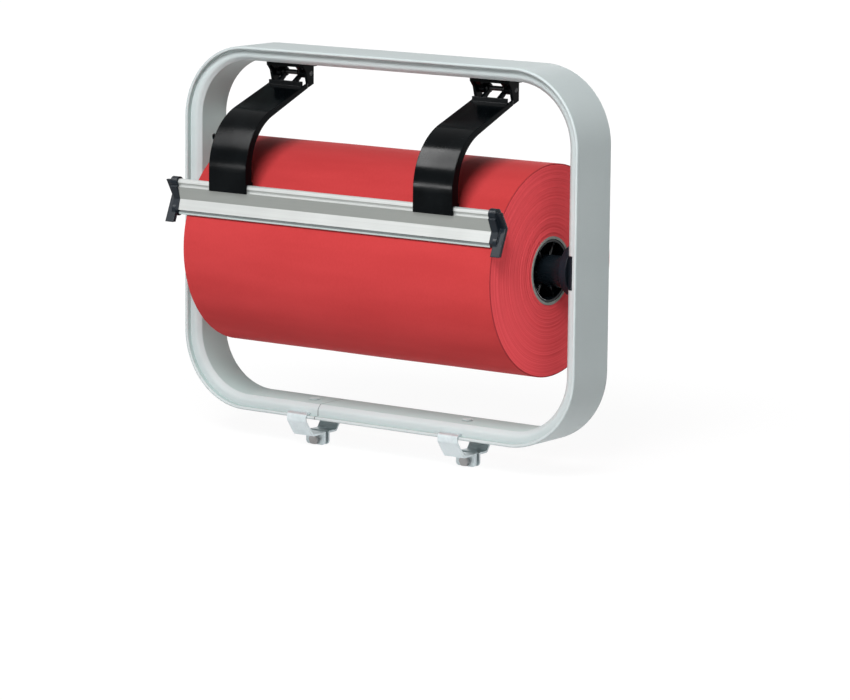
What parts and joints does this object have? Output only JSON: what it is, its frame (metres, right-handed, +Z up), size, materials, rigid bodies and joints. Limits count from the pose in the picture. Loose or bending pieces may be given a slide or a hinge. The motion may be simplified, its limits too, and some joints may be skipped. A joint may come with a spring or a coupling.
{
  "type": "paper roll dispenser",
  "caption": "Paper roll dispenser: a bent hollow metal hoop holds a roll on stub axles, hinged arms rest a tear rail on the paper, and sheet clamps grip a rail under its base.",
  "frame": {"origin": "middle of the hoop's flat underside, where it sits on the rail below", "axes": "+X to the user's right along the roll, +Y to the back, +Z up; the tear rail is at the front, on the -Y side"},
  "size_m": [0.385, 0.1694, 0.3234],
  "materials": {
    "hoop_metal": "satin silver-grey coat",
    "rail_metal": "satin drawn section",
    "blade_steel": "bright ground strip",
    "fastener_steel": "plated",
    "clamp_zinc": "bright zinc plate",
    "black_plastic": "moulded, soft sheen",
    "grey_plastic": "moulded",
    "red_paper": "uncoated wrapping paper",
    "core_board": "wound board"
  },
  "bodies": {
    "frame": {"hoop_frame": "hoop_metal", "seam_joiner": "hoop_metal", "base_hole_plugs": "grey_plastic", "bracket_screws": "fastener_steel", "hinge_bracket_left": "black_plastic", "hinge_bracket_right": "black_plastic", "hinge_pin_left": "fastener_steel", "hinge_pin_right": "fastener_steel", "axle_holder_left": "black_plastic", "axle_holder_right": "black_plastic", "clamp_front_jaw_left": "clamp_zinc", "clamp_front_jaw_right": "clamp_zinc"},
    "rail": {"tear_rail": "rail_metal", "tear_blade": "blade_steel", "arm_left": "black_plastic", "arm_right": "black_plastic", "end_cap_left": "black_plastic", "end_cap_right": "black_plastic"},
    "roll": {"paper_roll": "red_paper", "core_tube": "core_board", "core_plug_left": "black_plastic", "core_plug_right": "black_plastic"},
    "bolt_left": {"clamp_bolt_left": "fastener_steel"},
    "bolt_right": {"clamp_bolt_right": "fastener_steel"},
    "grip_left": {"clamp_rear_jaw_left": "clamp_zinc", "clamp_nut_left": "fastener_steel"},
    "grip_right": {"clamp_rear_jaw_right": "clamp_zinc", "clamp_nut_right": "fastener_steel"}
  },
  "joints": [
    {"name": "rail_swing", "type": "hinge", "parent": "frame", "child": "rail", "pos_m": [0, 0.001, 0.2777], "axis": [-1, 0, 0], "range_deg": [0, 50]},
    {"name": "roll_spin", "type": "hinge", "parent": "frame", "child": "roll", "pos_m": [0, 0, 0.139], "axis": [1, 0, 0], "continuous": true},
    {"name": "bolt_turn_left", "type": "hinge", "parent": "frame", "child": "bolt_left", "pos_m": [-0.075, 0, -0.0208], "axis": [0, -1, 0], "range_deg": [0, 1084]},
    {"name": "bolt_turn_right", "type": "hinge", "parent": "frame", "child": "bolt_right", "pos_m": [0.075, 0, -0.0208], "axis": [0, -1, 0], "range_deg": [0, 1084]},
    {"name": "grip_slide_left", "type": "slide", "parent": "frame", "child": "grip_left", "axis": [0, 1, 0], "range_m": [0, 0.0024]},
    {"name": "grip_slide_right", "type": "slide", "parent": "frame", "child": "grip_right", "axis": [0, 1, 0], "range_m": [0, 0.0024]}
  ],
  "couplings": [
    {"joint": "bolt_turn_left", "follows": "grip_slide_left", "rad_per_m": 7854},
    {"joint": "bolt_turn_right", "follows": "grip_slide_right", "rad_per_m": 7854}
  ]
}
